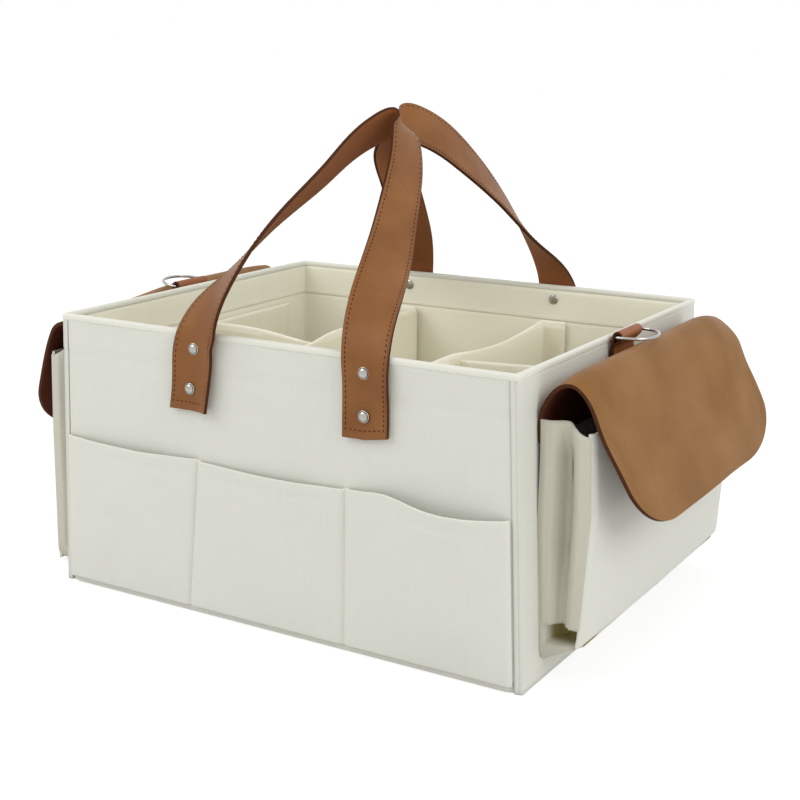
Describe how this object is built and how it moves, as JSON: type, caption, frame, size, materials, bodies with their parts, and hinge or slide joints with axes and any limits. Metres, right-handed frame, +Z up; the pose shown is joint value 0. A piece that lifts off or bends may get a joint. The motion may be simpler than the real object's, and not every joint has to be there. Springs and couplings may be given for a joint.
{
  "type": "diaper storage basket",
  "caption": "Soft-sided caddy with board-stiffened walls, padded dividers, riveted strap handles and flapped end pockets.",
  "frame": {"origin": "middle of the underside, on the surface that the basket stands on", "axes": "+X along the long front wall to the right, +Y from the front to the rear, +Z up"},
  "size_m": [0.5142, 0.3256, 0.351],
  "materials": {
    "canvas": "matte off-white woven canvas",
    "lining_cloth": "matte beige cotton lining",
    "binding": "matte cream cotton binding",
    "board": "raw grey pressed board",
    "leather": "smooth tan leather, darker cut edges",
    "nickel": "polished nickel plate",
    "hook_tape": "matte woven hook tape"
  },
  "bodies": {
    "basket": {"base_panel": "canvas", "front_wall": "canvas", "rear_wall": "canvas", "right_wall": "canvas", "left_wall": "canvas", "front_pocket": "canvas", "rear_pocket": "canvas", "right_pocket_panel": "canvas", "left_pocket_panel": "canvas", "base_board": "lining_cloth", "lining": "lining_cloth", "hem_band": "lining_cloth", "right_pocket_gusset": "lining_cloth", "left_pocket_gusset": "lining_cloth", "front_board": "board", "rear_board": "board", "right_board": "board", "left_board": "board", "rim_binding": "binding", "right_flap_seam": "leather", "left_flap_seam": "leather", "right_ring_tab": "leather", "left_ring_tab": "leather", "front_left_strap_end": "leather", "front_right_strap_end": "leather", "rear_left_strap_end": "leather", "rear_right_strap_end": "leather", "front_left_upper_rivet": "nickel", "front_left_lower_rivet": "nickel", "front_right_upper_rivet": "nickel", "front_right_lower_rivet": "nickel", "rear_left_upper_rivet": "nickel", "rear_left_lower_rivet": "nickel", "rear_right_upper_rivet": "nickel", "rear_right_lower_rivet": "nickel"},
    "front_strap": {"front_handle": "leather"},
    "rear_strap": {"rear_handle": "leather"},
    "right_cover": {"right_flap": "leather"},
    "left_cover": {"left_flap": "leather"},
    "right_ring": {"right_d_ring": "nickel"},
    "left_ring": {"left_d_ring": "nickel"},
    "left_divider": {"left_cross_divider": "lining_cloth", "left_divider_front_hook_tape": "hook_tape", "left_divider_rear_hook_tape": "hook_tape"},
    "right_divider": {"right_cross_divider": "lining_cloth", "right_divider_front_hook_tape": "hook_tape", "right_divider_rear_hook_tape": "hook_tape"},
    "right_half": {"right_half_divider": "lining_cloth", "right_head_hook_tape": "hook_tape"},
    "left_half": {"left_half_divider": "lining_cloth", "left_head_hook_tape": "hook_tape"}
  },
  "joints": [
    {"name": "front_handle_swing", "type": "hinge", "parent": "basket", "child": "front_strap", "pos_m": [0, -0.15634, 0.203], "axis": [1, 0, 0], "range_deg": [0, 165]},
    {"name": "rear_handle_swing", "type": "hinge", "parent": "basket", "child": "rear_strap", "pos_m": [0, 0.15634, 0.203], "axis": [-1, 0, 0], "range_deg": [0, 165]},
    {"name": "right_flap_lift", "type": "hinge", "parent": "basket", "child": "right_cover", "pos_m": [0.21474, 0, 0.18941], "axis": [0, -1, 0], "range_deg": [0, 140]},
    {"name": "left_flap_lift", "type": "hinge", "parent": "basket", "child": "left_cover", "pos_m": [-0.21474, 0, 0.18941], "axis": [0, 1, 0], "range_deg": [0, 140]},
    {"name": "right_ring_swing", "type": "hinge", "parent": "basket", "child": "right_ring", "pos_m": [0.188, 0, 0.2026], "axis": [0, -1, 0], "range_deg": [-5, 100]},
    {"name": "left_ring_swing", "type": "hinge", "parent": "basket", "child": "left_ring", "pos_m": [-0.188, 0, 0.2026], "axis": [0, 1, 0], "range_deg": [-5, 100]},
    {"name": "left_divider_lift", "type": "slide", "parent": "basket", "child": "left_divider", "axis": [0, 0, 1], "range_m": [0, 0.035]},
    {"name": "right_divider_lift", "type": "slide", "parent": "basket", "child": "right_divider", "axis": [0, 0, 1], "range_m": [0, 0.035]},
    {"name": "right_half_divider_lift", "type": "slide", "parent": "basket", "child": "right_half", "axis": [-0.0428, 0, 0.9991], "range_m": [0, 0.2]},
    {"name": "left_half_divider_lift", "type": "slide", "parent": "basket", "child": "left_half", "axis": [0.0428, 0, 0.9991], "range_m": [0, 0.2]}
  ]
}
